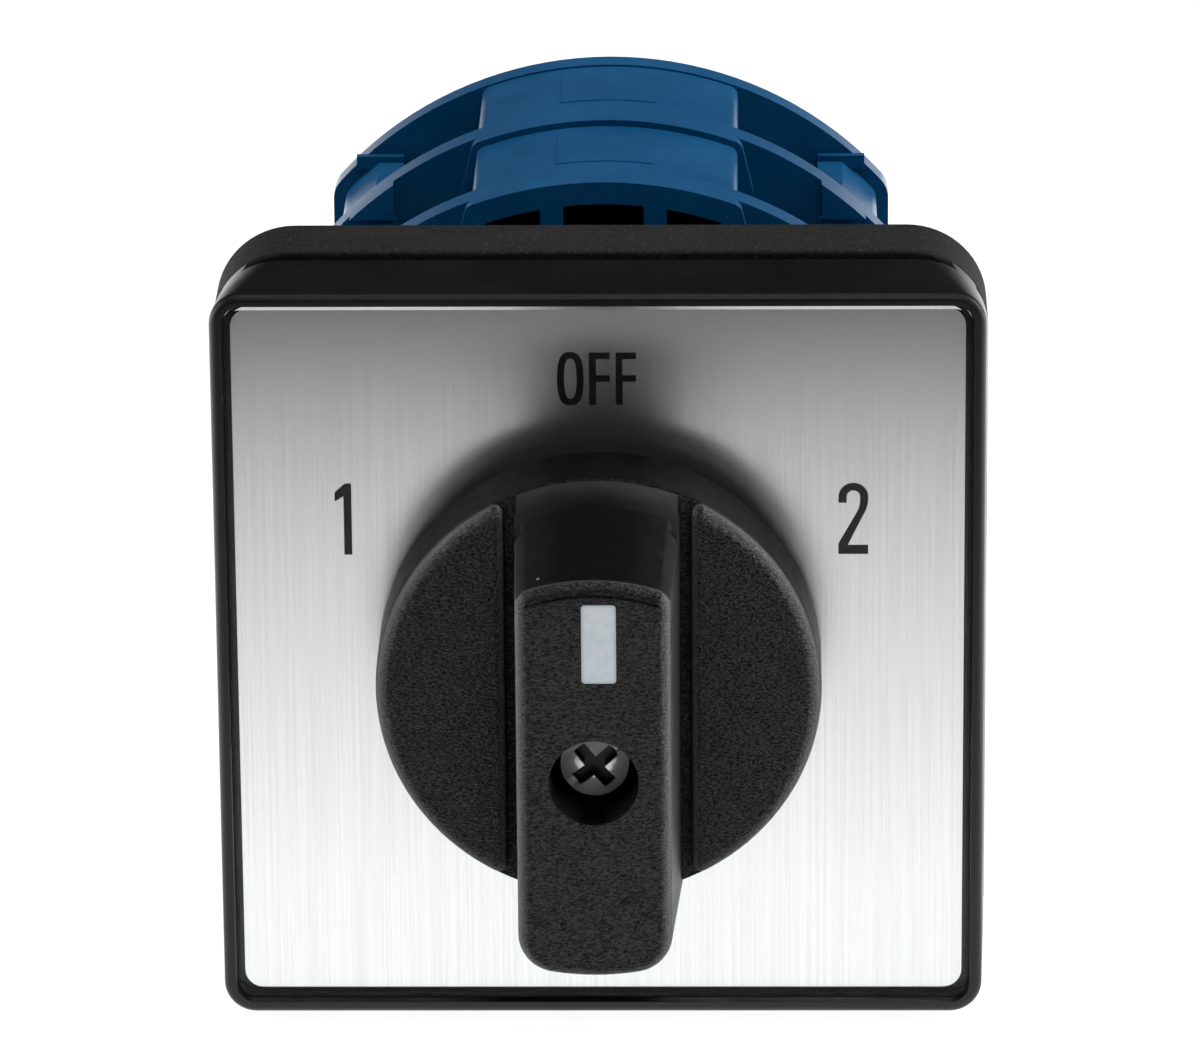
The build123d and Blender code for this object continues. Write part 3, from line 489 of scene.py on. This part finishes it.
WORD_HEIGHT = 3.37
WORD_BASE = 16.19
WORD_STROKE = 0.42
OVERSHOOT = 0.04
DIGIT_HEIGHT = 4.65
DIGIT_BASE = 6.45
marks = (
    ("letter_o", glyph_o(1.62, WORD_HEIGHT + 2 * OVERSHOOT, WORD_STROKE), -2.51, WORD_BASE - OVERSHOOT),
    ("letter_f1", glyph_f(1.25, WORD_HEIGHT, WORD_STROKE), -0.55, WORD_BASE),
    ("letter_f2", glyph_f(1.25, WORD_HEIGHT, WORD_STROKE), 1.07, WORD_BASE),
    ("digit_1", glyph_one(1.03, DIGIT_HEIGHT, 0.49), -16.26, DIGIT_BASE),
    ("digit_2", glyph_two(1.835, DIGIT_HEIGHT, 0.5), 14.70, DIGIT_BASE),
)
for name, loops, x, z in marks:
    flat_mark(name, loops, x, z)


# ---- studio --------------------------------------------------------------------------------
def soft_box(name, place, aim, width, height, power):
    """A white rectangular area light aimed at a point."""
    light = bpy.data.lights.new(name, "AREA")
    light.shape = "RECTANGLE"
    light.size = width
    light.size_y = height
    light.energy = power
    lamp = bpy.data.objects.new(name, light)
    scene.collection.objects.link(lamp)
    lamp.location = place
    direction = Vector(aim) - Vector(place)
    lamp.rotation_euler = direction.to_track_quat("-Z", "Y").to_euler()


soft_box("top_box", (0.0, 0.04, 0.62), (0, 0.0, 0), 0.55, 0.40, 3.3)
soft_box("front_glint", (0.06, -0.30, 0.36), (0, -0.02, 0), 0.10, 0.06, 0.45)
soft_box("upper_right_box", (0.32, 0.06, 0.26), (0, -0.015, 0), 0.16, 0.26, 1.2)
soft_box("left_box", (-0.50, 0.02, 0.10), (0, 0, 0), 0.30, 0.55, 2.6)
soft_box("right_box", (0.50, 0.02, 0.10), (0, 0, 0), 0.30, 0.55, 2.6)

# The world is white to the camera and dim to everything else.
world = bpy.data.worlds.new("studio")
scene.world = world
world.use_nodes = True
world_nodes = world.node_tree.nodes
world_links = world.node_tree.links
world_path = world_nodes.new("ShaderNodeLightPath")
world_level = world_nodes.new("ShaderNodeMapRange")
world_level.inputs["To Min"].default_value = 0.06
world_level.inputs["To Max"].default_value = 1.0
world_links.new(world_path.outputs["Is Camera Ray"], world_level.inputs["Value"])
world_links.new(world_level.outputs["Result"], world_nodes["Background"].inputs["Strength"])
world_nodes["Background"].inputs["Color"].default_value = (1, 1, 1, 1)


def studio_floor():
    """Pale floor. Mirrored in the object, it glows near the object and fades out in front of it."""
    look = Look("studio_floor")
    x, y, _ = look.split(look.place)
    glow = look.ramp(y, -0.158, -0.122, 0.0, 0.64)
    glow = look.maths("ADD", glow, look.ramp(y, -0.122, -0.035, 0.0, 0.64))
    glow = look.maths("ADD", glow, look.ramp(y, 0.0, 0.06, 0.0, 0.5))
    aside = look.ramp(look.maths("ABSOLUTE", x), 0.045, 0.080, 0.0, 0.8)
    aside = look.maths("MULTIPLY", aside, look.ramp(y, -0.085, -0.055))
    glow = look.maths("ADD", glow, aside)
    path = look.nodes.new("ShaderNodeLightPath")
    seen = path.outputs["Is Camera Ray"]
    glossy = path.outputs["Is Glossy Ray"]
    speckle = look.ramp(look.noise(400, 2), 0.3, 0.7, 0.98, 1.0)
    shade = look.mix(seen, (0.5, 0.5, 0.5), (0.12, 0.12, 0.12))
    shade = look.mix(glossy, shade, (0.0, 0.0, 0.0))
    look.set(Base_Color=shade, Roughness=0.9, Specular_IOR_Level=0.0)
    mirrored = look.maths("MULTIPLY", look.maths("MULTIPLY", glow, 1.18), glossy)
    level = look.maths("ADD", look.maths("MULTIPLY", seen, 0.97), mirrored)
    strength = look.maths("MULTIPLY", level, speckle)
    look.set(Emission_Color=(1.0, 1.0, 1.0), Emission_Strength=strength)
    return look.material


FLOOR_REACH = 3.0
FLOOR_GAP = 0.2 * MM
floor_z = cad_box[0][2] - FLOOR_GAP
corners = [(FLOOR_REACH * x, FLOOR_REACH * y, floor_z) for x, y in ((-1, -1), (1, -1), (1, 1), (-1, 1))]
floor_mesh = bpy.data.meshes.new("floor")
floor_mesh.from_pydata(corners, [], [(0, 1, 2, 3)])
floor = bpy.data.objects.new("floor", floor_mesh)
floor.data.materials.append(studio_floor())
scene.collection.objects.link(floor)

# ---- camera --------------------------------------------------------------------------------
SENSOR = 36.0
LENS = 251.9
CAMERA_ELEVATION = math.radians(19.96)
CAMERA_AZIMUTH = math.radians(1.18)
CAMERA_ROLL = math.radians(-0.48)
CAMERA_DISTANCE = 0.5155
AIM_POINT = Vector((0.00006, -0.0126, 0.00833))
back = Vector((
    math.sin(CAMERA_AZIMUTH) * math.cos(CAMERA_ELEVATION),
    -math.cos(CAMERA_AZIMUTH) * math.cos(CAMERA_ELEVATION),
    math.sin(CAMERA_ELEVATION),
))
right = (-back).cross(Vector((0, 0, 1))).normalized()
above = right.cross(-back)
turn = Matrix.Rotation(CAMERA_ROLL, 3, back)
camera_data = bpy.data.cameras.new("camera")
camera_data.sensor_width = SENSOR
camera_data.lens = LENS
camera_data.clip_start = 0.05
camera = bpy.data.objects.new("camera", camera_data)
scene.collection.objects.link(camera)
axes = Matrix((turn @ right, turn @ above, turn @ back)).transposed()
camera.matrix_world = Matrix.Translation(AIM_POINT + back * CAMERA_DISTANCE) @ axes.to_4x4()
scene.camera = camera
